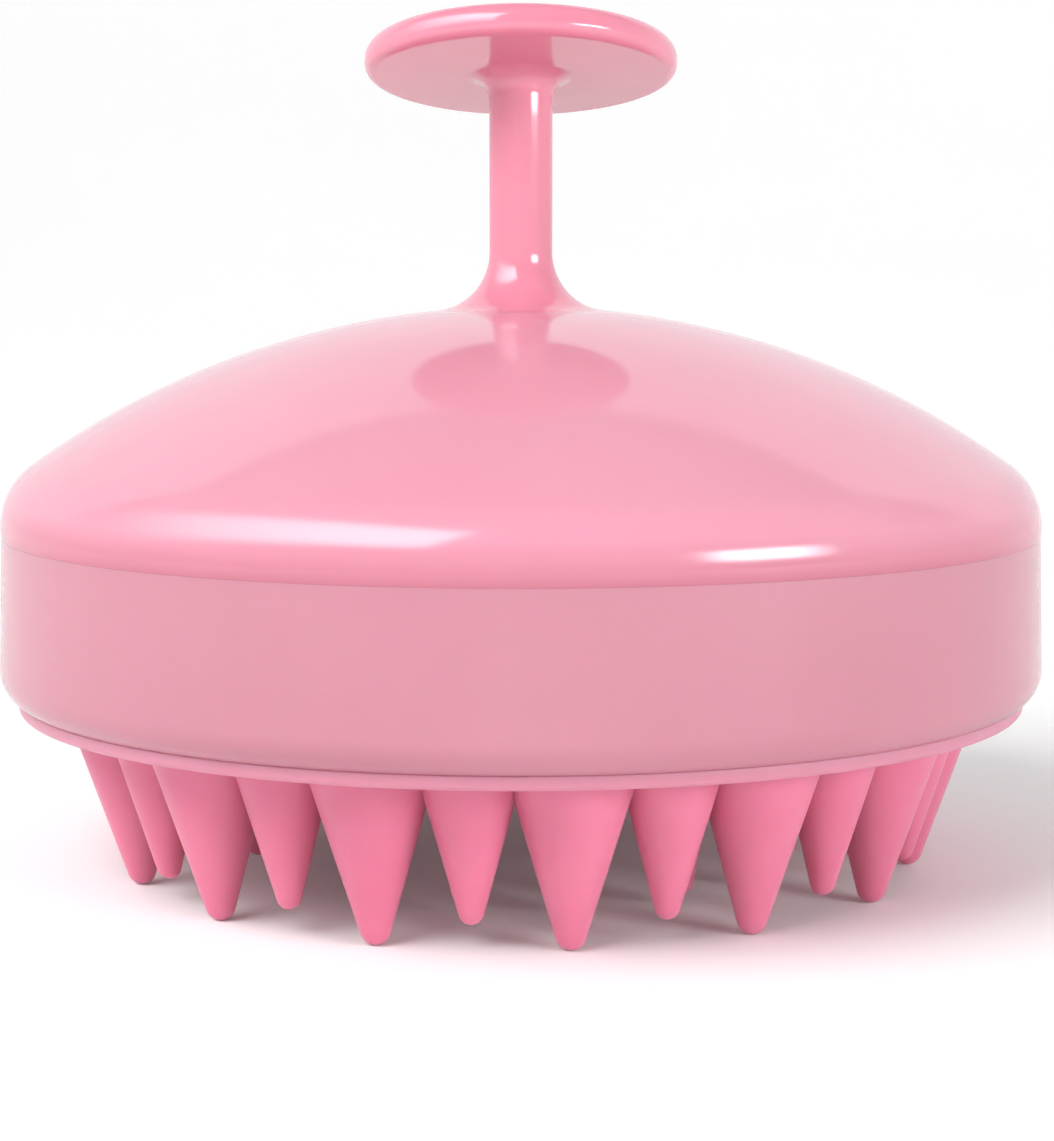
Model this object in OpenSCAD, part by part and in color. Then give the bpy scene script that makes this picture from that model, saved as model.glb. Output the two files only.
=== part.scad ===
// Hand-held scalp massager brush: a round dome with a short stem and finger disc, and a pull-off silicone
// bristle head under it. Millimetres, +Z up. The origin is on the brush's axis, in the plane of the
// longest bristle tips. -Y is the front.

/* [Body] */
// Widest diameter, at the shoulder of the dome
body_d = 88.4; // [86.4:0.4:90]
// Radius of curvature of the dome's crown
crown_r = 72; // [70:0.5:76]
// Radius of the rolled shoulder between the crown and the band
shoulder_r = 6; // [5.4:0.1:6.6]
// How far the shoulder rolls round, measured from straight up (90 is vertical)
shoulder_roll = 98; // [94:1:106]
// Height of the band, from its lower edge to the crease under the shoulder
band_h = 13.6; // [13:0.1:15]
// Radius that the band adds from its top to its fullest height
band_flare = 0.3; // [0.2:0.05:0.6]
// Radius of the band's rounded lower edge
band_edge_r = 2.8; // [2.4:0.1:3.2]
// Wall thickness of the dome
wall = 2.2; // [2:0.1:2.4]

/* [Handle] */
// Diameter of the stem
stem_d = 5.4; // [5.2:0.1:6.4]
// Radius of the flare at the stem's foot
foot_flare_r = 5; // [4:0.25:5.5]
// Diameter of the finger disc
disc_d = 26.6; // [24:0.2:30]
// Thickness of the finger disc
disc_t = 2.8; // [2.6:0.1:3.2]
// Tilt of the finger disc, front edge up
disc_tilt = 11.8; // [0:0.2:12.6]
// Height from the top of the crown to the bend at the top of the stem
stem_h = 17.4; // [15:0.2:20]
// Radius of the flare from the stem into the underside of the disc
disc_flare_r = 2; // [2:0.25:3.5]

/* [Bristles] */
// Length of the long bristles, from the pad's lower face to their tips
bristle_len = 14; // [12:0.5:16]
// Number of bristles in the outer ring, long and short ones by turns
outer_count = 28; // [24:2:30]
// Radius of the outer ring where its bristles leave the pad
outer_ring_r = 34.2; // [33.6:0.1:35]
// Angle of the outer bristles towards the axis
outer_lean = 3; // [0:0.5:4]
// Radius of a long outer bristle at its root
long_root_r = 5; // [4.2:0.1:5.2]
// Radius of a short outer bristle at its root
short_root_r = 4; // [3.4:0.1:4.2]
// Height of the short outer bristles' tips above the long ones'
short_tip_z = 2; // [0:0.1:3]
// Number of bristles in the second ring; the third has half of it and the fourth a quarter
inner_count = 16; // [8:4:16]
// Radius of an inner bristle at its root
inner_root_r = 3.2; // [2.8:0.1:3.5]

/* [Fits] */
// Radial clearance of the bristle head in the band
head_clear = 0.1; // [0.05:0.01:0.1]
// Clearance between fixed pieces
seam = 0.1; // [0.05:0.01:0.15]

/* [Hidden] */
$fn = 96;

arc_step = 4;
body_r = body_d / 2;

// Levels, from the bristle tips up
pad_z = bristle_len;
pad_lip_h = 1.1;
band_z = pad_z + pad_lip_h + seam;
crease_z = band_z + band_h;
shoulder_z = crease_z - shoulder_r * cos(shoulder_roll);
shoulder_x = body_r - shoulder_r;
crown_z = shoulder_z - sqrt(pow(crown_r - shoulder_r, 2) - pow(shoulder_x, 2));
crest_z = crown_z + crown_r;
join_angle = asin(shoulder_x / (crown_r - shoulder_r));

// Crown seat of the handle and its boss
foot_slope = asin((stem_d / 2 + foot_flare_r) / crown_r);
foot_r = stem_d / 2 + foot_flare_r * (1 - sin(foot_slope));
foot_top_z = crown_z + sqrt(pow(crown_r, 2) - pow(foot_r, 2));
foot_edge_h = 0.85;
foot_seat_z = foot_top_z - foot_edge_h;
crown_boss_r = 9.5;
crown_boss_h = 6.1;
crown_boss_z = foot_seat_z - crown_boss_h;
spigot_r = 3;
spigot_recess = 0.4;
spigot_end_z = crown_boss_z + spigot_recess;
key_w = 1.2;
key_r = 3.9;

// Handle
stem_r = stem_d / 2;
bend_z = crest_z + stem_h;
disc_rim_top_r = 1.5;
disc_rim_under_r = 1.0;

// Fasteners
handle_screw_r = 1.45;
handle_pilot_r = 1.2;
handle_screw_reach = 11;
handle_head_r = 2.9;
handle_head_h = 2;
washer_r = 4.5;
washer_t = 0.8;
washer_play = 0.2;
skirt_screw_count = 4;
skirt_screw_ring_r = 35.8;
skirt_screw_r = 1.3;
skirt_pilot_r = 1.05;
skirt_hole_r = 1.6;
skirt_boss_r = 2.6;
skirt_head_r = 2.5;
skirt_head_h = 1.7;
skirt_screw_reach = 5.5;
skirt_screw_gap = 0.5;

// Band: the head's socket below, the screw flange above
socket_inset = 2.7;
socket_r = body_r - socket_inset;
flange_t = 2;
flange_reach = 3.2;
flange_r = skirt_screw_ring_r - flange_reach;
locating_lip_r = body_r - wall - seam;
locating_lip_h = 1.5;
locating_lip_t = 1.8;
band_chamfer = 0.25;
// The band's lower edge turns this far from straight up, and meets its flat underside at a corner
band_edge_end = 150;
band_full_r = shoulder_x + shoulder_r * sin(shoulder_roll) + band_flare;
band_under_r = band_full_r - band_edge_r * (1 - sin(band_edge_end));

// Bristle head
pad_t = 2;
pad_wall_r = socket_r - head_clear;
pad_lip_r = band_under_r - seam;
pad_edge_r = 0.5;
pad_wall_t = 1.4;
plate_fit = 0.05;
plate_r = pad_wall_r - pad_wall_t - plate_fit;
plate_z = pad_z + pad_t + plate_fit;
plate_t = 2;
hook_z = plate_z + plate_t + plate_fit;
hook_t = 1.25;
hook_reach = 1.3;
rib_h = 2.6;
rib_t = 1.4;
rib_step = 0.2;
long_tip_r = 1.2;
short_tip_r = 1;
inner_tip_r = 1.1;
inner_tip_z = 1;
root_rise = 0.8;
root_gap = 0.1;
front = -90;

// Rings inside the outer one: [share of inner_count, radius]
inner_rings = [[1, 23], [1 / 2, 14], [1 / 4, 5.5]];

// How far a cut runs past the face that it opens
past = 1;

// Points of an arc about (x, z), with angles measured from straight up towards +X
function arc(x, z, r, from, to) =
    let (n = max(2, ceil(abs(to - from) / arc_step)))
    [for (i = [0:n]) let (a = from + (to - from) * i / n) [x + r * sin(a), z + r * cos(a)]];

// Outside of the dome, inset by a wall, from the axis to the end of the shoulder's roll
function dome_line(inset, roll) = concat(
    arc(0, crown_z, crown_r - inset, 0, join_angle),
    arc(shoulder_x, shoulder_z, shoulder_r - inset, join_angle + arc_step, roll));

function reversed(list) = [for (i = [len(list) - 1:-1:0]) list[i]];

module dome_solid() {
    rotate_extrude()
        polygon(concat(dome_line(0, shoulder_roll), [[0, crease_z]]));
}

module around(count, radius, phase = 0) {
    for (i = [0:count - 1])
        rotate([0, 0, phase + 360 * i / count])
            translate([radius, 0, 0])
                children();
}

// The keyed hole and the keyed spigot share this outline
module keyed_shaft(r, key, width, height) {
    cylinder(r = r, h = height);
    translate([-key, -width / 2, 0])
        cube([2 * key, width, height]);
}

module dome_cover() {
    color([0.96, 0.66, 0.74])
    difference() {
        union() {
            rotate_extrude()
                polygon(concat(
                    dome_line(0, shoulder_roll),
                    [[shoulder_x + shoulder_r - wall, crease_z]],
                    reversed(dome_line(wall, 90))));
            intersection() {
                dome_solid();
                union() {
                    translate([0, 0, crown_boss_z])
                        cylinder(r = crown_boss_r, h = crest_z - crown_boss_z);
                    around(skirt_screw_count, skirt_screw_ring_r, 45)
                        translate([0, 0, crease_z])
                            cylinder(r = skirt_boss_r, h = crest_z - crease_z, $fn = 32);
                }
            }
        }
        translate([0, 0, foot_seat_z])
            cylinder(r = foot_r + seam / 2, h = crest_z - foot_seat_z + past);
        translate([0, 0, crown_boss_z - past])
            keyed_shaft(spigot_r + seam / 2, key_r + seam / 2, key_w + seam, crown_boss_h + 2 * past);
        around(skirt_screw_count, skirt_screw_ring_r, 45)
            translate([0, 0, crease_z - past])
                cylinder(r = skirt_pilot_r, h = past + skirt_screw_reach, $fn = 32);
    }
}

// Outside of the band, from its top edge down to the flat under its rounded lower edge
function band_line() = let (top_r = band_full_r - band_flare)
    concat(
        [[top_r - band_chamfer, crease_z - seam], [top_r, crease_z - seam - band_chamfer]],
        arc(band_full_r - band_edge_r, band_z - band_edge_r * cos(band_edge_end), band_edge_r,
            90, band_edge_end));

module skirt_ring() {
    color([0.9, 0.61, 0.68])
    difference() {
        rotate_extrude()
            polygon(concat(
                band_line(),
                [[socket_r, band_z],
                 [socket_r, crease_z - seam - flange_t],
                 [flange_r, crease_z - seam - flange_t],
                 [flange_r, crease_z - seam],
                 [locating_lip_r - locating_lip_t, crease_z - seam],
                 [locating_lip_r - locating_lip_t, crease_z + locating_lip_h],
                 [locating_lip_r, crease_z + locating_lip_h],
                 [locating_lip_r, crease_z - seam]]));
        around(skirt_screw_count, skirt_screw_ring_r, 45)
            translate([0, 0, crease_z - seam - flange_t - past])
                cylinder(r = skirt_hole_r, h = flange_t + 2 * past, $fn = 32);
        // Room for the screw bosses inside the locating lip
        around(skirt_screw_count, skirt_screw_ring_r, 45)
            translate([0, 0, crease_z - seam])
                cylinder(r = skirt_boss_r + 2 * seam, h = locating_lip_h + past, $fn = 32);
    }
}

// Pan-head screw that points up, with its head's upper face at z = 0 and a cross recess below
module screw(head_r, head_h, shank_r, reach) {
    edge_r = 0.6 * head_h;
    slot_l = 1.1 * head_r;
    slot_w = 0.2 * head_r;
    slot_h = 0.6 * head_h;
    tip_share = 0.2;
    difference() {
        union() {
            rotate_extrude()
                polygon(concat(
                    [[0, 0]],
                    [[head_r, 0]],
                    arc(head_r - edge_r, edge_r - head_h, edge_r, 90, 180),
                    [[0, -head_h]]));
            cylinder(r = shank_r, h = reach - shank_r, $fn = 32);
            translate([0, 0, reach - shank_r])
                cylinder(r1 = shank_r, r2 = shank_r * tip_share, h = shank_r, $fn = 32);
        }
        for (turn = [0, 90])
            rotate([0, 0, turn])
                translate([-slot_l / 2, -slot_w / 2, -head_h - past])
                    cube([slot_l, slot_w, past + slot_h]);
    }
}

module skirt_screws() {
    color([0.75, 0.76, 0.78])
    around(skirt_screw_count, skirt_screw_ring_r, 45)
        translate([0, 0, crease_z - seam - flange_t])
            screw(skirt_head_r, skirt_head_h, skirt_screw_r,
                  flange_t + skirt_screw_reach - skirt_screw_gap);
}

// Finger disc about its own axis, with its underside's centre at z = disc_flare_r above the bend
function disc_line() = let (r = disc_d / 2, z = disc_flare_r)
    concat(
        [[0, 0]],
        arc(stem_r + disc_flare_r, 0, disc_flare_r, -90, 0),
        arc(r - disc_rim_under_r, z + disc_rim_under_r, disc_rim_under_r, 180, 90),
        arc(r - disc_rim_top_r, z + disc_t - disc_rim_top_r, disc_rim_top_r, 90, 0),
        [[0, z + disc_t]]);

module handle() {
    color([0.96, 0.62, 0.7])
    difference() {
        union() {
            // Stem with its flared foot, which sits flush in the crown
            rotate_extrude()
                polygon(concat(
                    [[0, foot_seat_z], [foot_r, foot_seat_z]],
                    reversed(arc(stem_r + foot_flare_r, foot_top_z + foot_flare_r * cos(foot_slope),
                                 foot_flare_r, -90, -180 + foot_slope)),
                    [[stem_r, bend_z], [0, bend_z]]));
            // The bend at the top of the stem
            translate([0, 0, bend_z])
                sphere(r = stem_r);
            translate([0, 0, bend_z])
                rotate([-disc_tilt, 0, 0])
                    rotate_extrude()
                        polygon(disc_line());
            translate([0, 0, spigot_end_z])
                keyed_shaft(spigot_r, key_r, key_w, foot_seat_z - spigot_end_z);
        }
        translate([0, 0, spigot_end_z - past])
            cylinder(r = handle_pilot_r, h = past + handle_screw_reach, $fn = 32);
    }
}

module handle_screw() {
    color([0.75, 0.76, 0.78])
    translate([0, 0, crown_boss_z - washer_t])
        screw(handle_head_r, handle_head_h, handle_screw_r, handle_screw_reach);
}

module screw_washer() {
    color([0.7, 0.71, 0.73])
    translate([0, 0, crown_boss_z - washer_t])
        difference() {
            cylinder(r = washer_r, h = washer_t);
            translate([0, 0, -past])
                cylinder(r = handle_screw_r + washer_play, h = washer_t + 2 * past);
        }
}

// Stiff plate inside the pad, ribbed on its upper side
module carrier_plate() {
    rib_ring_r = 20;
    rib_end_r = plate_r - hook_reach - 1;
    rib_root = 0.5;
    color([0.93, 0.93, 0.92])
    union() {
        translate([0, 0, plate_z])
            cylinder(r = plate_r, h = plate_t);
        for (r = [rib_ring_r, rib_end_r])
            translate([0, 0, plate_z + plate_t - rib_root])
                difference() {
                    cylinder(r = r, h = rib_root + rib_h);
                    translate([0, 0, -past])
                        cylinder(r = r - rib_t, h = rib_root + rib_h + 2 * past);
                }
        for (turn = [0:45:135])
            rotate([0, 0, turn])
                translate([-rib_end_r + rib_t / 2, -rib_t / 2, plate_z + plate_t - rib_root])
                    cube([2 * rib_end_r - rib_t, rib_t, rib_root + rib_h - rib_step]);
    }
}

// Round-tipped taper that hangs from z = 0; its side is tangent to the ball of its tip
module bristle(root_r, tip_r, length) {
    ball_z = length - tip_r;
    side = acos(tip_r / norm([root_r, ball_z])) - atan2(ball_z, root_r);
    rotate_extrude($fn = 40)
        polygon(concat(
            [[0, root_rise], [root_r, root_rise], [root_r, 0]],
            [for (i = [0:5]) let (a = -side - (90 - side) * i / 5)
                [i == 5 ? 0 : tip_r * cos(a), -ball_z + tip_r * sin(a)]]));
}

// Bristle of a ring, leaning towards the axis and cut flat where it leaves the pad
module ring_bristle(ring_r, angle, lean, root_r, tip_r, tip_z) {
    drop = pad_z - tip_z;
    rotate([0, 0, angle])
        translate([ring_r, 0, pad_z])
            difference() {
                rotate([0, lean, 0])
                    bristle(root_r, tip_r, (drop - tip_r) / cos(lean) + tip_r);
                translate([-2 * root_r, -2 * root_r, 0])
                    cube([4 * root_r, 4 * root_r, 2 * root_rise + root_r]);
            }
}

// The same, cut off on both sides where its root would run into its neighbours'
module crowded_bristle(angle, half_turn, root_r, tip_r, tip_z) {
    reach = outer_ring_r + 2 * root_r;
    intersection() {
        ring_bristle(outer_ring_r, angle, outer_lean, root_r, tip_r, tip_z);
        rotate([0, 0, angle])
            linear_extrude(height = pad_z + past)
                polygon([[0, 0],
                         [reach, -reach * tan(half_turn)],
                         [reach, reach * tan(half_turn)]]);
    }
}

// Pad that wraps the carrier plate; it is one moulding with the bristles under it
module bristle_pad() {
    color([0.94, 0.58, 0.68])
    rotate_extrude()
        polygon(concat(
            [[0, pad_z], [pad_lip_r - pad_edge_r, pad_z]],
            arc(pad_lip_r - pad_edge_r, pad_z + pad_edge_r, pad_edge_r, 180, 90),
            [[pad_lip_r, pad_z + pad_lip_h],
             [pad_wall_r, pad_z + pad_lip_h],
             [pad_wall_r, hook_z + hook_t],
             [pad_wall_r - pad_wall_t - hook_reach, hook_z + hook_t],
             [pad_wall_r - pad_wall_t - hook_reach, hook_z],
             [pad_wall_r - pad_wall_t, hook_z],
             [pad_wall_r - pad_wall_t, pad_z + pad_t],
             [0, pad_z + pad_t]]));
}

// Outer ring, long and short bristles by turns. Each has a share of the ring that suits its root.
module outer_bristles() {
    pitch = 360 / outer_count;
    gap_turn = asin(root_gap / outer_ring_r) / 2;
    long_share = long_root_r / (long_root_r + short_root_r);
    color([0.94, 0.58, 0.68])
    for (i = [0:2:outer_count - 1]) {
        crowded_bristle(front + (i + 0.5) * pitch, long_share * pitch - gap_turn,
                        long_root_r, long_tip_r, 0);
        crowded_bristle(front + (i + 1.5) * pitch, (1 - long_share) * pitch - gap_turn,
                        short_root_r, short_tip_r, short_tip_z);
    }
}

// Three upright rings inside the outer one
module inner_bristles() {
    color([0.94, 0.58, 0.68])
    for (ring = inner_rings)
        let (count = inner_count * ring[0])
        for (i = [0:count - 1])
            ring_bristle(ring[1], front + 360 * (i + 0.5) / count, 0, inner_root_r, inner_tip_r, inner_tip_z);
}

dome_cover();
skirt_ring();
skirt_screws();
handle();
handle_screw();
screw_washer();
carrier_plate();
bristle_pad();
outer_bristles();
inner_bristles();
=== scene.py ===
"""Scalp massager brush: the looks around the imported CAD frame. Shapes are worked out in millimetres and
made in metres, in the CAD frame: +Z up, -Y the front, the origin under the axis at the bristle tips."""

import math

import bmesh
import bpy
from mathutils import Matrix, Vector


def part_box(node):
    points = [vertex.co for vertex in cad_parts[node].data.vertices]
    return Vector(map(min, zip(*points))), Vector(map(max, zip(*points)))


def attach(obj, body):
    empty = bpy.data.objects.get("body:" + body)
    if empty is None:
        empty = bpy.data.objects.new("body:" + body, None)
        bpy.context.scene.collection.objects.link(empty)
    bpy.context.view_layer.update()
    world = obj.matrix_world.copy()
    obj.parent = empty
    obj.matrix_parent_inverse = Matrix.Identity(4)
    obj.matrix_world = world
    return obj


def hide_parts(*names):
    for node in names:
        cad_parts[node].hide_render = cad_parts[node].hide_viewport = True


MM = 0.001
ROUND = 160          # segments of a full turn
ARC_STEP = 3.0       # degrees between the points of an arc

# Driving dimensions, as the CAD model has them (mm, degrees)
BODY_R = 44.2
CROWN_R = 72.0
SHOULDER_R = 6.0
SHOULDER_ROLL = 98.0
BAND_FLARE = 0.3
BAND_EDGE_R = 2.8
BAND_EDGE_END = 150.0
WALL = 2.2
SEAM = 0.1
STEM_R = 2.7
FOOT_FLARE_R = 5.0
DISC_R = 13.3
DISC_T = 2.78         # a hair under the CAD model's, because the stem's smooth bend reaches a little higher
DISC_TILT = 11.8
DISC_FLARE_R = 2.0
STEM_H = 17.4
FOOT_EDGE = 0.85
SPIGOT_R = 3.0
KEY_R = 3.9
KEY_W = 1.2
PILOT_R = 1.2
PILOT_DEPTH = 11.0
RIM_TOP_R = 1.5
RIM_UNDER_R = 1.0
BEND_REACH = 1.2
BOSS_R = 9.5
SCREW_RING_R = 35.8
SCREW_BOSS_R = 2.6
SCREW_PILOT_R = 1.05
SCREW_HOLE_R = 1.6
FLANGE_T = 2.0
FLANGE_IN_R = 32.6
LIP_T = 1.8
LIP_H = 1.5
SOCKET_INSET = 2.7
PAD_T = 2.0
PAD_WALL_T = 1.4
HOOK_T = 1.25
HOOK_REACH = 1.3
PAD_RINGS = (8, 16, 24, 32, 38)     # radii of the mesh rings across the pad's face
OUTER_COUNT = 28
OUTER_RING_R = 34.2
OUTER_LEAN = 3.0
LONG_ROOT_R = 5.0
LONG_TIP_R = 1.2
SHORT_ROOT_R = 4.0
SHORT_TIP_R = 1.0
SHORT_TIP_Z = 2.0
INNER_RINGS = [(16, 23.0), (8, 14.0), (4, 5.5)]
INNER_ROOT_R = 3.2
INNER_TIP_R = 1.1
INNER_TIP_Z = 1.0
ROOT_FILLET = 0.35
JOINT_GAP = 0.01      # between dome and band, and band and lip, as tight as two mouldings sit
FRONT = -90.0        # azimuth of the front, in degrees from +X

# Studio
FLOOR_PAINTED_LIGHT = (0.06, 0.42)            # painted light of the floor: least under the object, which paints a shadow there, and most far from it
FLOOR_PAINTED_LIGHT_REACH = (0.05, 0.5)       # metres from the axis
SKY = [(0.18, 0.95), (0.48, 0.32), (1.0, 0.40)]         # (sine of the height over the horizon, level)
FRONT_SKY = [(0.18, 0.95), (0.44, 0.1), (1.0, 0.34)]    # the same in front, behind the camera

# Camera, in metres and degrees: level with the crown, close enough to look up under the disc
CAMERA_OUT = 0.235
CAMERA_UP = 0.0379
CAMERA_DIP = 6.52
CAMERA_TURN = -0.126   # to the right, which sets the axis a little left of the middle


# ---------------------------------------------------------------- outlines

def arc(x, z, r, start, end, step=ARC_STEP):
    """Points of an arc about (x, z), with angles in degrees from straight up towards +X."""
    n = max(2, math.ceil(abs(end - start) / step))
    turns = [math.radians(start + (end - start) * i / n) for i in range(n + 1)]
    return [(x + r * math.sin(a), z + r * math.cos(a)) for a in turns]


def rounded(points, radius, least=20.0, closed=True):
    """The outline with a small arc at each corner that turns more than `least` degrees."""
    out = []
    n = len(points)
    for i, p in enumerate(points):
        p = Vector(p)
        if not closed and i in (0, n - 1):
            out.append(tuple(p))
            continue
        to_last = Vector(points[i - 1]) - p
        to_next = Vector(points[(i + 1) % n]) - p
        if to_last.length < 1e-9 or to_next.length < 1e-9:
            continue
        inside = to_last.angle(to_next)
        turn = math.degrees(math.pi - inside)
        if turn < least:
            out.append(tuple(p))
            continue
        reach = min(radius / math.tan(inside / 2), 0.45 * to_last.length, 0.45 * to_next.length)
        a = p + to_last.normalized() * reach
        b = p + to_next.normalized() * reach
        steps = max(2, round(turn / 15))
        for k in range(steps + 1):
            t = k / steps
            out.append(tuple(a * (1 - t) ** 2 + p * 2 * t * (1 - t) + b * t * t))
    return out


# ---------------------------------------------------------------- meshes

def finish_mesh(bm, name, sharp=40.0):
    """A smooth-shaded object from a bmesh in millimetres."""
    bmesh.ops.remove_doubles(bm, verts=bm.verts, dist=1e-5)
    bmesh.ops.recalc_face_normals(bm, faces=bm.faces)
    bmesh.ops.scale(bm, vec=(MM, MM, MM), verts=bm.verts)
    mesh = bpy.data.meshes.new(name)
    bm.to_mesh(mesh)
    bm.free()
    mesh.shade_smooth()
    mesh.set_sharp_from_angle(angle=math.radians(sharp))
    piece = bpy.data.objects.new(name, mesh)
    bpy.context.scene.collection.objects.link(piece)
    return piece


def revolve(bm, outline, turns=ROUND, place=Matrix.Identity(4)):
    """Turns a closed outline of (r, z) about Z. Points on the axis become poles."""
    rings = []
    for r, z in outline:
        if r < 1e-6:
            rings.append([bm.verts.new(place @ Vector((0, 0, z)))])
        else:
            rings.append([
                bm.verts.new(place @ Vector((
                    r * math.cos(2 * math.pi * k / turns), r * math.sin(2 * math.pi * k / turns), z)))
                for k in range(turns)])
    for i, ring in enumerate(rings):
        other = rings[(i + 1) % len(rings)]
        if len(ring) == 1 and len(other) == 1:
            continue
        for k in range(turns):
            m = (k + 1) % turns
            if len(ring) == 1:
                bm.faces.new((ring[0], other[k], other[m]))
            elif len(other) == 1:
                bm.faces.new((ring[k], other[0], ring[m]))
            else:
                bm.faces.new((ring[k], other[k], other[m], ring[m]))


def cut_or_join(piece, tool, operation):
    """Applies a boolean of piece with tool, and removes the tool."""
    m = piece.modifiers.new("boolean", "BOOLEAN")
    m.object = tool
    m.operation = operation
    m.solver = "EXACT"
    dg = bpy.context.evaluated_depsgraph_get()
    mesh = bpy.data.meshes.new_from_object(piece.evaluated_get(dg))
    piece.modifiers.clear()
    old = piece.data
    piece.data = mesh
    mesh.name = piece.name
    bpy.data.meshes.remove(old)
    bpy.data.objects.remove(tool)
    return piece


def smooth(piece, sharp=40.0):
    piece.data.shade_smooth()
    piece.data.set_sharp_from_angle(angle=math.radians(sharp))
    return piece


# ---------------------------------------------------------------- materials

class Nodes:
    """A small helper that builds a node material around one Principled shader."""

    def __init__(self, name):
        self.material = bpy.data.materials.new(name)
        self.material.use_nodes = True
        self.tree = self.material.node_tree
        self.tree.nodes.clear()
        self.shader = self.add("ShaderNodeBsdfPrincipled")
        out = self.add("ShaderNodeOutputMaterial")
        self.link(self.shader.outputs["BSDF"], out.inputs["Surface"])
        self.place = self.add("ShaderNodeTexCoord").outputs["Object"]

    def add(self, kind, **values):
        node = self.tree.nodes.new(kind)
        for key, value in values.items():
            setattr(node, key, value)
        return node

    def link(self, a, b):
        self.tree.links.new(a, b)

    def noise(self, scale, detail=2.0, rough=0.5, stretch=None):
        """Noise at `scale` features per metre, in the range 0 to 1."""
        node = self.add("ShaderNodeTexNoise")
        node.inputs["Scale"].default_value = scale
        node.inputs["Detail"].default_value = detail
        node.inputs["Roughness"].default_value = rough
        where = self.place
        if stretch:
            mapping = self.add("ShaderNodeMapping")
            mapping.inputs["Scale"].default_value = stretch
            self.link(where, mapping.inputs["Vector"])
            where = mapping.outputs["Vector"]
        self.link(where, node.inputs["Vector"])
        return node.outputs["Fac"]

    def ramp(self, value, stops):
        node = self.add("ShaderNodeValToRGB")
        ramp = node.color_ramp
        while len(ramp.elements) < len(stops):
            ramp.elements.new(0.5)
        for element, (at, colour) in zip(ramp.elements, stops):
            element.position = at
            element.color = (*colour, 1.0) if len(colour) == 3 else colour
        self.link(value, node.inputs["Fac"])
        return node.outputs["Color"]

    def span(self, value, low, high, at_low=0.3, at_high=0.7):
        node = self.add("ShaderNodeMapRange")
        node.inputs["From Min"].default_value = at_low
        node.inputs["From Max"].default_value = at_high
        node.inputs["To Min"].default_value = low
        node.inputs["To Max"].default_value = high
        self.link(value, node.inputs["Value"])
        return node.outputs["Result"]

    def bumps(self, layers):
        """Stacks bump layers, each (height output, distance in metres)."""
        normal = None
        for height, distance in layers:
            node = self.add("ShaderNodeBump")
            node.inputs["Strength"].default_value = 1.0
            node.inputs["Distance"].default_value = distance
            self.link(height, node.inputs["Height"])
            if normal:
                self.link(normal, node.inputs["Normal"])
            normal = node.outputs["Normal"]
        self.link(normal, self.shader.inputs["Normal"])

    def set(self, **values):
        for key, value in values.items():
            self.shader.inputs[key.replace("_", " ")].default_value = value


def gloss_plastic(name, deep, pale, rough=0.09, rim=None, coat=0.0):
    """Injection-moulded ABS: polished, with a faint orange peel, fine rub marks and slow flow marks.
    With rim=(height, reach, tone) the colour is deepened by `tone` towards that height, as painted shade.
    The share of clear lacquer over it is `coat`."""
    m = Nodes(name)
    flow = m.noise(38, 3.0, 0.55, stretch=(1, 1, 0.45))
    colour = m.ramp(flow, [(0.32, deep), (0.68, pale)])
    if rim:
        # painted shade: the colour darkens by the tone from height + reach down to height
        height, reach, tone = rim
        split = m.add("ShaderNodeSeparateXYZ")
        m.link(m.place, split.inputs["Vector"])
        share = m.span(split.outputs["Z"], 1.0, 0.0, height * MM, (height + reach) * MM)
        mix = m.add("ShaderNodeMix", data_type="RGBA", blend_type="MULTIPLY")
        m.link(share, mix.inputs["Factor"])
        m.link(colour, mix.inputs["A"])
        mix.inputs["B"].default_value = (*tone, 1.0)
        colour = mix.outputs["Result"]
    m.link(colour, m.shader.inputs["Base Color"])
    rub = m.noise(900, 4.0, 0.65, stretch=(0.12, 1, 0.6))
    m.link(m.span(rub, rough * 0.8, rough * 1.5), m.shader.inputs["Roughness"])
    m.bumps([(m.noise(230, 2.0), 0.000010), (m.noise(2400, 3.0), 0.0000008)])
    m.set(IOR=1.53, Subsurface_Weight=0.12, Subsurface_Scale=0.004,
          Subsurface_Radius=(1.0, 0.45, 0.35), Coat_Weight=coat)
    return m.material


def satin_silicone(name, deep, pale, lip):
    """Soft silicone rubber: translucent, satin, with the fine grain of a blasted mould and a little bloom.
    Between the two heights its colour passes into that of the lip, lip=(from height, to height, colour)."""
    m = Nodes(name)
    cloud = m.noise(70, 3.0, 0.6)
    low, high, tone = lip
    split = m.add("ShaderNodeSeparateXYZ")
    m.link(m.place, split.inputs["Vector"])
    mix = m.add("ShaderNodeMix", data_type="RGBA")
    m.link(m.span(split.outputs["Z"], 0.0, 1.0, low * MM, high * MM), mix.inputs["Factor"])
    m.link(m.ramp(cloud, [(0.3, deep), (0.7, pale)]), mix.inputs["A"])
    mix.inputs["B"].default_value = (*tone, 1.0)
    m.link(mix.outputs["Result"], m.shader.inputs["Base Color"])
    grain = m.noise(5200, 2.0, 0.6)
    m.link(m.span(m.noise(420, 4.0, 0.7), 0.36, 0.5), m.shader.inputs["Roughness"])
    m.bumps([(m.noise(520, 3.0), 0.000012), (grain, 0.0000022)])
    m.set(IOR=1.42, Subsurface_Weight=0.45, Subsurface_Scale=0.004,
          Subsurface_Radius=(1.0, 0.32, 0.3), Sheen_Weight=0.08, Sheen_Roughness=0.4)
    return m.material


def moulded_plastic(name, colour, darker):
    """Plain ABS off the tool: a dull spark-eroded grain."""
    m = Nodes(name)
    m.link(m.ramp(m.noise(120, 4.0), [(0.3, darker), (0.7, colour)]), m.shader.inputs["Base Color"])
    m.link(m.span(m.noise(1500, 3.0), 0.42, 0.6), m.shader.inputs["Roughness"])
    m.bumps([(m.noise(3800, 2.0), 0.000006)])
    m.set(IOR=1.52)
    return m.material


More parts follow.
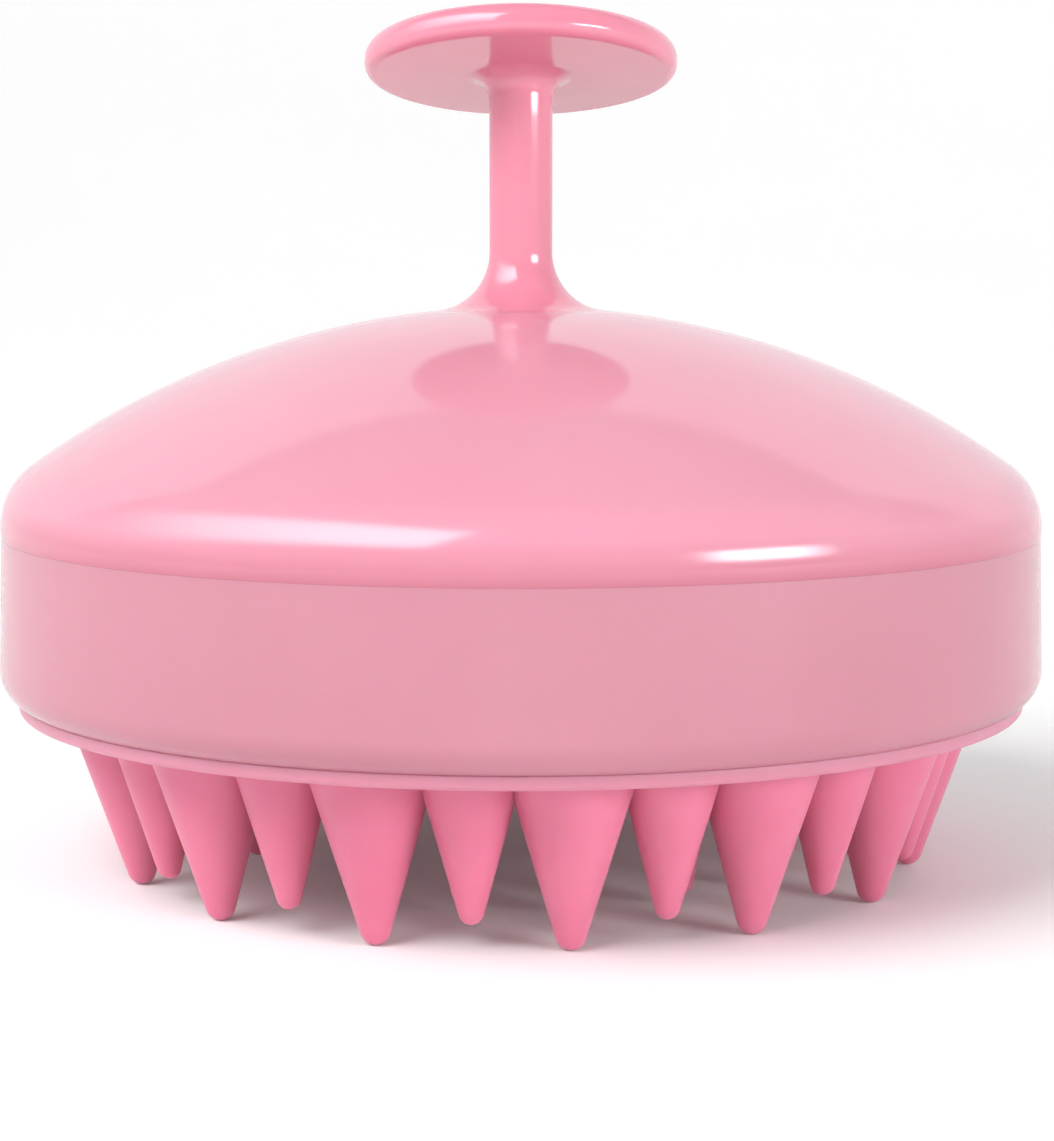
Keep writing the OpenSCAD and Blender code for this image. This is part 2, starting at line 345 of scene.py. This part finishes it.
def plated_steel(name, tone):
    """Zinc-plated steel: fine turning marks and a cloudy bright finish."""
    m = Nodes(name)
    dark = tuple(c * 0.8 for c in tone)
    m.link(m.ramp(m.noise(700, 3.0), [(0.3, dark), (0.7, tone)]), m.shader.inputs["Base Color"])
    m.link(m.span(m.noise(2600, 3.0, stretch=(1, 1, 6)), 0.24, 0.4), m.shader.inputs["Roughness"])
    m.bumps([(m.noise(4200, 2.0, stretch=(1, 1, 5)), 0.000003)])
    m.set(Metallic=1.0)
    return m.material


def floor_paper(name):
    """White paper that glows with painted light, growing with the distance from the object, so that the
    dimmer floor under it is a painted shadow.
    """
    m = Nodes(name)
    m.link(m.ramp(m.noise(6, 4.0), [(0.3, (0.86, 0.86, 0.86)), (0.7, (0.88, 0.88, 0.88))]),
           m.shader.inputs["Base Color"])
    m.link(m.span(m.noise(60, 3.0), 0.6, 0.7), m.shader.inputs["Roughness"])
    away = m.add("ShaderNodeVectorMath", operation="LENGTH")
    m.link(m.place, away.inputs[0])
    # painted light: the floor's emission is least under the object, which paints a shadow there
    m.link(m.span(away.outputs["Value"], *FLOOR_PAINTED_LIGHT, *FLOOR_PAINTED_LIGHT_REACH), m.shader.inputs["Emission Strength"])
    m.set(Specular_IOR_Level=0.2, Emission_Color=(1, 1, 1, 1))
    return m.material


def dress(piece, material, body, slot, *nodes):
    """Gives a new piece its finish and its body, and hides the CAD nodes that it stands for."""
    piece.data.materials.clear()
    piece.data.materials.append(material)
    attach(piece, body)
    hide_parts(*nodes)
    return piece


# ---------------------------------------------------------------- frame

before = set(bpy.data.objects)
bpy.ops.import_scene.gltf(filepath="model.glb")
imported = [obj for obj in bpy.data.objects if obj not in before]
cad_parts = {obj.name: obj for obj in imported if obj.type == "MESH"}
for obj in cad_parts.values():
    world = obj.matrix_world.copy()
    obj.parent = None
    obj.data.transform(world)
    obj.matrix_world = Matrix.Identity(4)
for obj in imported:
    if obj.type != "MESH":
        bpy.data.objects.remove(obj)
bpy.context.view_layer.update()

# Levels in millimetres, from the CAD boxes
pad_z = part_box("bristle_pad")[0].z / MM
band_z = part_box("skirt_ring")[0].z / MM
crease_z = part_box("dome_cover")[0].z / MM
spigot_end_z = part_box("handle")[0].z / MM
boss_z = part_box("screw_washer")[1].z / MM
hook_top_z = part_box("bristle_pad")[1].z / MM
socket_top_z = crease_z - SEAM - FLANGE_T

shoulder_x = BODY_R - SHOULDER_R
shoulder_z = crease_z - SHOULDER_R * math.cos(math.radians(SHOULDER_ROLL))
crown_z = shoulder_z - math.sqrt((CROWN_R - SHOULDER_R) ** 2 - shoulder_x ** 2)
join_angle = math.degrees(math.asin(shoulder_x / (CROWN_R - SHOULDER_R)))
foot_slope = math.asin((STEM_R + FOOT_FLARE_R) / CROWN_R)
foot_r = STEM_R + FOOT_FLARE_R * (1 - math.sin(foot_slope))
foot_top_z = crown_z + math.sqrt(CROWN_R ** 2 - foot_r ** 2)
seat_z = foot_top_z - FOOT_EDGE
bend_z = crown_z + CROWN_R + STEM_H
socket_r = BODY_R - SOCKET_INSET
pad_wall_r = socket_r - SEAM
band_top_r = shoulder_x + SHOULDER_R * math.sin(math.radians(SHOULDER_ROLL))
band_full_r = band_top_r + BAND_FLARE
band_under_r = band_full_r - BAND_EDGE_R * (1 - math.sin(math.radians(BAND_EDGE_END)))


# ---------------------------------------------------------------- pieces

def sphere_z(r, inset):
    return crown_z + math.sqrt((CROWN_R - inset) ** 2 - r ** 2)


def shell_line(inset, first_r, roll):
    """The dome's surface, inset by a wall, from radius first_r out to the end of the shoulder's roll."""
    start = math.degrees(math.asin(first_r / (CROWN_R - inset)))
    crown = arc(0, crown_z, CROWN_R - inset, start, join_angle, 1.0)
    shoulder = arc(shoulder_x, shoulder_z, SHOULDER_R - inset, join_angle, roll)
    return crown + shoulder[1:]


def columns(radius, low, high, turns=32):
    """Four upright cylinders on the ring of the band's screws."""
    bm = bmesh.new()
    for i in range(4):
        a = math.radians(45 + 90 * i)
        place = Matrix.Translation((SCREW_RING_R * math.cos(a), SCREW_RING_R * math.sin(a), 0))
        revolve(bm, [(0, low), (radius, low), (radius, high), (0, high)], turns, place)
    return finish_mesh(bm, "columns")


def make_dome(material):
    """Dome shell with the seat and boss for the handle, and four screw bosses."""
    bore_r = SPIGOT_R + SEAM / 2
    seat_r = foot_r + SEAM / 2
    outer = shell_line(0, seat_r, SHOULDER_ROLL)
    inner = shell_line(WALL, BOSS_R, 90)
    rim = [(shoulder_x + SHOULDER_R - WALL, crease_z)]
    seat = [(BOSS_R, boss_z), (bore_r, boss_z), (bore_r, seat_z), (seat_r, seat_z)]
    bm = bmesh.new()
    revolve(bm, rounded(rim + inner[::-1] + seat + outer, 0.03, closed=False))
    piece = finish_mesh(bm, "dome")
    top = sphere_z(SCREW_RING_R + SCREW_BOSS_R, 0) - 0.3
    cut_or_join(piece, columns(SCREW_BOSS_R, crease_z, top), "UNION")
    cut_or_join(piece, columns(SCREW_PILOT_R, crease_z - 1, crease_z + 5.5), "DIFFERENCE")
    smooth(piece)
    return dress(piece, material, "housing", "dome_plastic", "dome_cover")


def make_band(material):
    """Band under the shoulder, with the head's socket inside and the flange for its screws above."""
    top_z = crease_z - JOINT_GAP
    lip_r = BODY_R - WALL - SEAM
    edge_z = band_z - BAND_EDGE_R * math.cos(math.radians(BAND_EDGE_END))
    outline = [(band_top_r, top_z)]
    outline += arc(band_full_r - BAND_EDGE_R, edge_z, BAND_EDGE_R, 90, BAND_EDGE_END)
    outline += [
        (socket_r, band_z), (socket_r, socket_top_z), (FLANGE_IN_R, socket_top_z),
        (FLANGE_IN_R, top_z), (lip_r - LIP_T, top_z),
        (lip_r - LIP_T, crease_z + LIP_H), (lip_r, crease_z + LIP_H), (lip_r, top_z)]
    bm = bmesh.new()
    revolve(bm, rounded(outline, 0.04, closed=False))
    piece = finish_mesh(bm, "band")
    cut_or_join(piece, columns(SCREW_HOLE_R, socket_top_z - 1, crease_z + 3), "DIFFERENCE")
    cut_or_join(piece, columns(SCREW_BOSS_R + 2 * SEAM, top_z, crease_z + 4), "DIFFERENCE")
    smooth(piece)
    return dress(piece, material, "housing", "band_plastic", "skirt_ring")


def bent(point):
    """Carries a point of the straight handle onto the one whose top leans back by the disc's tilt."""
    tilt = math.radians(DISC_TILT)
    start, end = bend_z - BEND_REACH, bend_z + BEND_REACH
    x, y, z = point
    if z <= start:
        return point
    steps = 12
    span = min(z, end) - start
    at = Vector((0, 0, start))
    for k in range(steps):
        lean = tilt * (k + 0.5) / steps * span / (end - start)
        at += Vector((0, math.sin(lean), math.cos(lean))) * span / steps
    lean = tilt * span / (end - start)
    along = Vector((0, math.sin(lean), math.cos(lean)))
    across = Vector((0, math.cos(lean), -math.sin(lean)))
    return at + along * max(0.0, z - end) + across * y + Vector((x, 0, 0))


def make_handle(material):
    """Finger disc, stem, flared foot and spigot in one moulding."""
    slope = math.degrees(foot_slope)
    flare_z = foot_top_z + FOOT_FLARE_R * math.cos(foot_slope)
    disc_z = bend_z + DISC_FLARE_R
    outline = [(0, spigot_end_z + PILOT_DEPTH), (PILOT_R, spigot_end_z + PILOT_DEPTH),
               (PILOT_R, spigot_end_z), (SPIGOT_R, spigot_end_z), (SPIGOT_R, seat_z), (foot_r, seat_z)]
    outline += arc(STEM_R + FOOT_FLARE_R, flare_z, FOOT_FLARE_R, -180 + slope, -90)
    stem_from, stem_to = flare_z, bend_z
    outline += [(STEM_R, stem_from + (stem_to - stem_from) * k / 16) for k in range(1, 16)]
    outline += arc(STEM_R + DISC_FLARE_R, bend_z, DISC_FLARE_R, -90, 0)
    outline += arc(DISC_R - RIM_UNDER_R, disc_z + RIM_UNDER_R, RIM_UNDER_R, 180, 90, 6)
    outline += arc(DISC_R - RIM_TOP_R, disc_z + DISC_T - RIM_TOP_R, RIM_TOP_R, 90, 0, 6)
    outline += [(0, disc_z + DISC_T)]
    bm = bmesh.new()
    revolve(bm, outline, 128)
    for v in bm.verts:
        v.co = bent(v.co)
    piece = finish_mesh(bm, "grip")
    keys = bmesh.new()
    bmesh.ops.create_cube(keys, size=1.0)
    bmesh.ops.scale(keys, vec=(2 * KEY_R, KEY_W, seat_z - spigot_end_z), verts=keys.verts)
    bmesh.ops.translate(keys, vec=(0, 0, (seat_z + spigot_end_z) / 2), verts=keys.verts)
    key = finish_mesh(keys, "keys")
    bore = bmesh.new()
    revolve(bore, [(0, spigot_end_z - 1), (SPIGOT_R - 0.5, spigot_end_z - 1),
                   (SPIGOT_R - 0.5, seat_z + 0.1), (0, seat_z + 0.1)], 64)
    cut_or_join(key, finish_mesh(bore, "bore"), "DIFFERENCE")
    cut_or_join(piece, key, "UNION")
    smooth(piece, 50)
    return dress(piece, material, "housing", "handle_plastic", "handle")


def bristle_outline(root_r, tip_r, drop):
    """A taper hanging from z = 0, tangent to the ball of its tip, with a small fillet at its root."""
    ball_z = drop - tip_r
    side = math.acos(tip_r / math.hypot(root_r, ball_z)) - math.atan2(ball_z, root_r)
    top = (root_r + ROOT_FILLET, 0.015)
    turn = math.pi / 2 - side
    points = [(0, 0.6), (top[0], 0.6), top]
    for k in range(1, 6):
        a = turn * k / 5
        points.append((top[0] - ROOT_FILLET * math.sin(a), -ROOT_FILLET * (1 - math.cos(a))))
    slope_start = points[-1]
    tip_start = (tip_r * math.cos(side), -ball_z - tip_r * math.sin(side))
    points += [(slope_start[0] + (tip_start[0] - slope_start[0]) * k / 8,
                slope_start[1] + (tip_start[1] - slope_start[1]) * k / 8) for k in range(1, 8)]
    for k in range(9):
        a = -side - (math.pi / 2 - side) * k / 8
        points.append((0 if k == 8 else tip_r * math.cos(a), -ball_z + tip_r * math.sin(a)))
    return points


def add_bristle(bm, ring_r, angle, lean, root_r, tip_r, tip_z):
    shear = Matrix.Identity(4)
    shear[0][2] = math.tan(math.radians(lean))
    place = (Matrix.Rotation(math.radians(angle), 4, "Z")
             @ Matrix.Translation((ring_r, 0, pad_z)) @ shear)
    revolve(bm, bristle_outline(root_r, tip_r, pad_z - tip_z), 40, place)


def make_pad(material):
    """Silicone pad that wraps the carrier plate, with all its bristles. Long, short and inner bristles are
    joined in a pass each, because the roots of neighbours touch."""
    lip_r = band_under_r - SEAM
    hook_in_r = pad_wall_r - PAD_WALL_T - HOOK_REACH
    lip_top = band_z - 3 * JOINT_GAP
    outline = [(0, pad_z)] + [(r, pad_z) for r in PAD_RINGS]
    outline += arc(lip_r - 0.5, pad_z + 0.5, 0.5, 180, 90, 10)
    outline += [(lip_r, lip_top), (pad_wall_r, lip_top), (pad_wall_r, hook_top_z), (hook_in_r, hook_top_z),
                (hook_in_r, hook_top_z - HOOK_T), (pad_wall_r - PAD_WALL_T, hook_top_z - HOOK_T),
                (pad_wall_r - PAD_WALL_T, pad_z + PAD_T), (0, pad_z + PAD_T)]
    bm = bmesh.new()
    revolve(bm, rounded(outline, 0.15, closed=False))
    piece = finish_mesh(bm, "pad")
    pitch = 360 / OUTER_COUNT
    longs, shorts, inners = bmesh.new(), bmesh.new(), bmesh.new()
    for i in range(0, OUTER_COUNT, 2):
        long_at, short_at = FRONT + (i + 0.5) * pitch, FRONT + (i + 1.5) * pitch
        add_bristle(longs, OUTER_RING_R, long_at, OUTER_LEAN, LONG_ROOT_R, LONG_TIP_R, 0)
        add_bristle(shorts, OUTER_RING_R, short_at, OUTER_LEAN, SHORT_ROOT_R, SHORT_TIP_R, SHORT_TIP_Z)
    for count, ring_r in INNER_RINGS:
        for i in range(count):
            at = FRONT + 360 * (i + 0.5) / count
            add_bristle(inners, ring_r, at, 0, INNER_ROOT_R, INNER_TIP_R, INNER_TIP_Z)
    for tufts in (longs, shorts, inners):
        cut_or_join(piece, finish_mesh(tufts, "tufts"), "UNION")
    smooth(piece)
    return dress(piece, material, "brush_head", "pad_silicone",
                 "bristle_pad", "outer_bristles", "inner_bristles")


def paint(node, material):
    """Gives a CAD node that keeps its own shape a better material."""
    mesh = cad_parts[node].data
    mesh.materials.clear()
    mesh.materials.append(material)


# The dome's colour deepens towards the crease by the rim tone: painted shade on the underside of the
# shoulder's roll.
dome_plastic = gloss_plastic("dome_abs", (0.615, 0.25, 0.33), (0.64, 0.275, 0.355),
                             rim=(crease_z, 3.2, (0.77, 0.52, 0.58)))
# The band's base colour is darker than the dome's plastic: painted shade for the upright band.
band_plastic = gloss_plastic("band_abs", (0.465, 0.177, 0.234), (0.485, 0.193, 0.251), 0.13)
handle_plastic = gloss_plastic("handle_abs", (0.63, 0.205, 0.285), (0.66, 0.232, 0.313), coat=0.2)
silicone = satin_silicone("pad_silicone", (0.62, 0.16, 0.265), (0.67, 0.195, 0.305),
                          lip=(pad_z - 0.6, pad_z + 0.2, (0.55, 0.215, 0.295)))
steel = plated_steel("screw_zinc", (0.62, 0.63, 0.65))

make_dome(dome_plastic)
make_band(band_plastic)
make_handle(handle_plastic)
make_pad(silicone)
paint("carrier_plate", moulded_plastic("plate_abs", (0.8, 0.78, 0.74), (0.72, 0.7, 0.66)))
paint("skirt_screws", steel)
paint("handle_screw", steel)
paint("screw_washer", plated_steel("washer_zinc", (0.58, 0.58, 0.6)))


# ---------------------------------------------------------------- studio

def make_stage(material):
    """Pale floor that curves up into a backdrop. The head always stands on it, also when it is pulled out."""
    width, front, back, rise, bend_r = 3.0, -1.5, 1.6, 2.2, 0.8
    line = [(front, 0.0), (back - bend_r, 0.0)]
    line += [(back - bend_r + bend_r * math.sin(math.radians(a)), bend_r * (1 - math.cos(math.radians(a))))
             for a in range(10, 100, 10)]
    line.append((back, rise))
    bm = bmesh.new()
    rows = [[bm.verts.new((x, y, z)) for x in (-width, width)] for y, z in line]
    for a, b in zip(rows, rows[1:]):
        bm.faces.new((a[0], a[1], b[1], b[0]))
    mesh = bpy.data.meshes.new("floor")
    bm.to_mesh(mesh)
    bm.free()
    mesh.shade_smooth()
    floor = bpy.data.objects.new("floor", mesh)
    bpy.context.scene.collection.objects.link(floor)
    mesh.materials.append(material)
    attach(floor, "brush_head")


def softbox(name, start, end, width, power, fades, aim=(0, 0, 0.03)):
    """A strip of diffused light from `start` to `end`, turned to `aim`. The fades are the shares of the strip
    over which it dims: at its start, at its end, and at each side."""
    start, end, aim = Vector(start), Vector(end), Vector(aim)
    middle = (start + end) / 2
    along = (end - start).normalized()
    back = (middle - aim).normalized()
    back = (back - along * back.dot(along)).normalized()
    light = bpy.data.lights.new(name, "AREA")
    light.shape = "RECTANGLE"
    light.size = (end - start).length
    light.size_y = width
    light.energy = power
    light.use_nodes = True
    tree = light.node_tree
    place = tree.nodes.new("ShaderNodeNewGeometry").outputs["Parametric"]
    split = tree.nodes.new("ShaderNodeSeparateXYZ")
    tree.links.new(place, split.inputs["Vector"])
    level = None
    for axis, share, far_end in (("X", fades[0], False), ("X", fades[1], True),
                                 ("Y", fades[2], False), ("Y", fades[2], True)):
        fade = tree.nodes.new("ShaderNodeMapRange")
        fade.interpolation_type = "SMOOTHERSTEP"
        fade.inputs["From Min"].default_value = 1.0 if far_end else 0.0
        fade.inputs["From Max"].default_value = 1.0 - share if far_end else share
        tree.links.new(split.outputs[axis], fade.inputs["Value"])
        if level:
            both = tree.nodes.new("ShaderNodeMath")
            both.operation = "MULTIPLY"
            tree.links.new(level, both.inputs[0])
            tree.links.new(fade.outputs["Result"], both.inputs[1])
            level = both.outputs["Value"]
        else:
            level = fade.outputs["Result"]
    tree.links.new(level, tree.nodes["Emission"].inputs["Strength"])
    lamp = bpy.data.objects.new(name, light)
    lamp.matrix_world = (Matrix.Translation(middle)
                         @ Matrix((along, back.cross(along), back)).transposed().to_4x4())
    bpy.context.scene.collection.objects.link(lamp)
    return lamp


def make_world(sides, front):
    """White studio: pale walls low down, a dimmer upper part, and least light from the front."""
    world = bpy.data.worlds.new("studio")
    world.use_nodes = True
    tree = world.node_tree
    split = tree.nodes.new("ShaderNodeSeparateXYZ")
    tree.links.new(tree.nodes.new("ShaderNodeTexCoord").outputs["Generated"], split.inputs["Vector"])
    mix = tree.nodes.new("ShaderNodeMix")
    mix.data_type = "RGBA"
    for stops, socket in ((sides, "A"), (front, "B")):
        node = tree.nodes.new("ShaderNodeValToRGB")
        node.color_ramp.interpolation = "EASE"
        node.color_ramp.elements.new(0.5)
        for element, (at, level) in zip(node.color_ramp.elements, stops):
            element.position = at
            element.color = (level, level, level, 1)
        tree.links.new(split.outputs["Z"], node.inputs["Fac"])
        tree.links.new(node.outputs["Color"], mix.inputs[socket])
    turn = tree.nodes.new("ShaderNodeMapRange")
    turn.interpolation_type = "SMOOTHSTEP"
    turn.inputs["From Min"].default_value = -0.2
    turn.inputs["From Max"].default_value = -0.75
    tree.links.new(split.outputs["Y"], turn.inputs["Value"])
    tree.links.new(turn.outputs["Result"], mix.inputs["Factor"])
    tree.links.new(mix.outputs["Result"], tree.nodes["Background"].inputs["Color"])
    bpy.context.scene.world = world


def make_camera():
    data = bpy.data.cameras.new("camera")
    data.sensor_width = 36.0
    data.lens = 86.25
    data.clip_start = 0.01
    camera = bpy.data.objects.new("camera", data)
    camera.location = (0, -CAMERA_OUT, pad_z * MM + CAMERA_UP)
    camera.rotation_euler = (math.radians(90 - CAMERA_DIP), 0, math.radians(CAMERA_TURN))
    bpy.context.scene.collection.objects.link(camera)
    bpy.context.scene.camera = camera


make_stage(floor_paper("floor_paper"))
make_world(SKY, FRONT_SKY)
softbox("key", (-0.13, -0.54, 0.49), (-0.62, 0.22, 0.22), 0.46, 11.5, (0.1, 0.85, 0.4))
softbox("fill", (0.35, -0.56, 0.19), (0.70, -0.23, 0.19), 0.24, 6.8, (0.35, 0.5, 0.4))
make_camera()
bpy.context.scene.view_settings.view_transform = "Standard"
